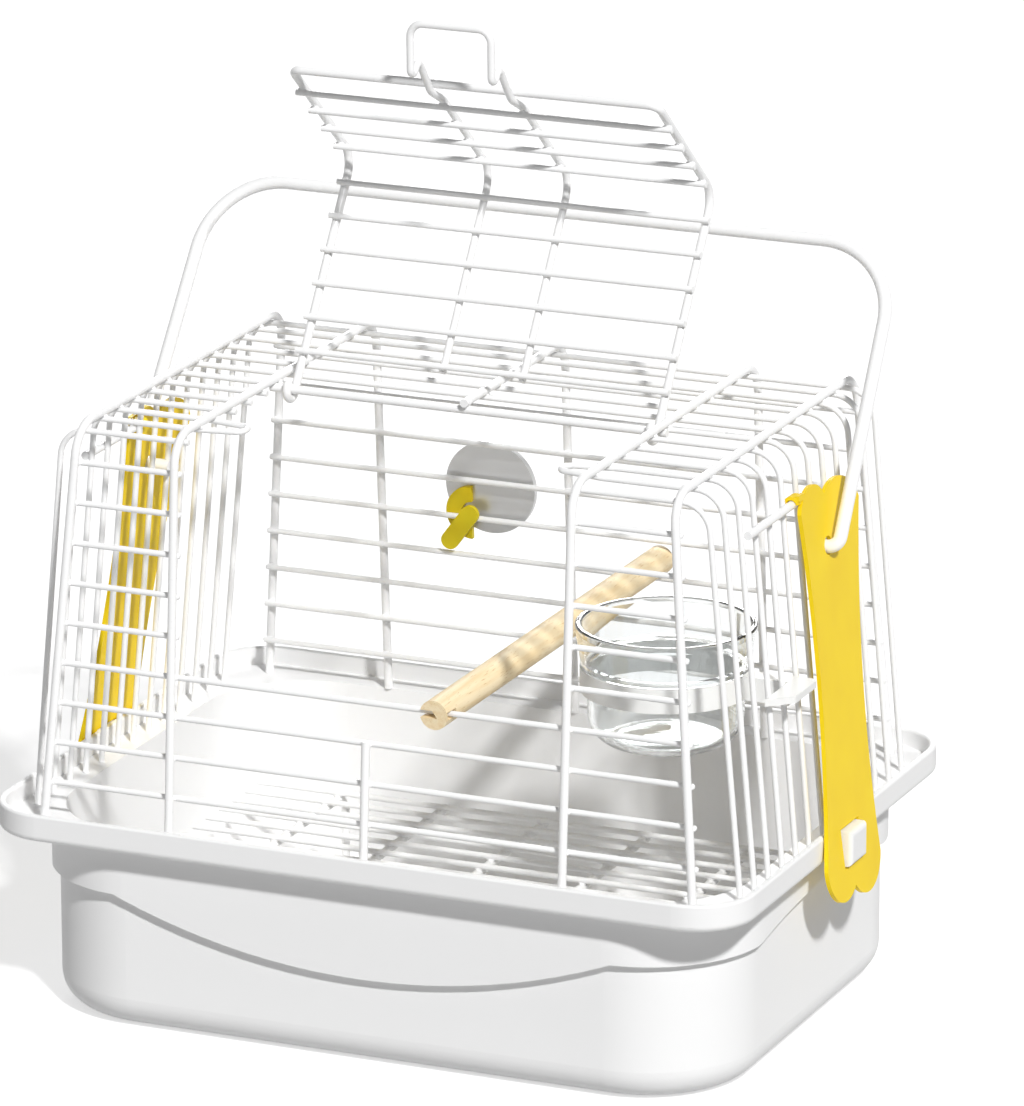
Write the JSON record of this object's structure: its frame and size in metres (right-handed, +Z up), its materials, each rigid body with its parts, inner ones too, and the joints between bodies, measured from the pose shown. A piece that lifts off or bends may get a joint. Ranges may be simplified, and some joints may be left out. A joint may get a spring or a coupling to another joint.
{
  "type": "bird travel carrier",
  "caption": "Small wire bird carrier on a white plastic tub, with a folding wire door in the roof and front, a carrying handle, side clips, a perch, a bowl and a mirror.",
  "frame": {"origin": "centre of the tub's underside, on the surface that it stands on", "axes": "+Z up, +X to the right seen from the front, +Y to the back"},
  "size_m": [0.3082, 0.222, 0.3689],
  "materials": {
    "white_plastic": "smooth white moulded plastic, soft gloss",
    "yellow_plastic": "flat bright yellow moulded plastic, soft gloss",
    "clear_plastic": "clear moulded plastic",
    "coated_wire": "steel wire with a white powder coat",
    "coated_handle": "thick steel wire with a white powder coat",
    "perch_wood": "bare turned pale wood",
    "mirror_glass": "small round mirror"
  },
  "bodies": {
    "cage": {"tub": "white_plastic", "grate_wires": "coated_wire", "grate_bars": "coated_wire", "left_edge_hoop": "coated_wire", "right_edge_hoop": "coated_wire", "left_door_hoop": "coated_wire", "right_door_hoop": "coated_wire", "rear_centre_hoop": "coated_wire", "front_centre_post": "coated_wire", "hinge_wire": "coated_wire", "front_lower_wires": "coated_wire", "back_wires": "coated_wire", "rear_roof_wires": "coated_wire", "left_front_level_wires": "coated_wire", "right_front_level_wires": "coated_wire", "left_side_wires": "coated_wire", "right_side_wires": "coated_wire", "left_door_stop": "coated_wire", "right_door_stop": "coated_wire", "left_clip_rail": "coated_wire", "right_clip_rail": "coated_wire", "bowl_holder": "white_plastic", "bowl_holder_plate": "white_plastic", "perch": "perch_wood", "mirror": "mirror_glass", "mirror_clip": "yellow_plastic"},
    "door": {"door_frame": "coated_wire", "door_cross_wires": "coated_wire", "door_latch": "coated_wire"},
    "handle": {"handle": "coated_handle"},
    "left_clip": {"left_clip": "yellow_plastic"},
    "right_clip": {"right_clip": "yellow_plastic"},
    "bowl": {"bowl": "clear_plastic"}
  },
  "joints": [
    {"name": "door_hinge", "type": "hinge", "parent": "cage", "child": "door", "pos_m": [0, -0.0029, 0.22098], "axis": [1, 0, 0], "range_deg": [-6, 122]},
    {"name": "handle_swing", "type": "hinge", "parent": "cage", "child": "handle", "pos_m": [0, 0.0093, 0.1818], "axis": [1, 0, 0], "range_deg": [-60, 4]},
    {"name": "left_clip_swing", "type": "hinge", "parent": "cage", "child": "left_clip", "pos_m": [-0.13024, 0.0093, 0.2022], "axis": [0, 1, 0], "range_deg": [0, 2.7]},
    {"name": "right_clip_swing", "type": "hinge", "parent": "cage", "child": "right_clip", "pos_m": [0.13024, 0.0093, 0.2022], "axis": [0, -1, 0], "range_deg": [0, 2.7]},
    {"name": "bowl_lift", "type": "slide", "parent": "cage", "child": "bowl", "axis": [0, 0, 1], "range_m": [0, 0.06]}
  ]
}
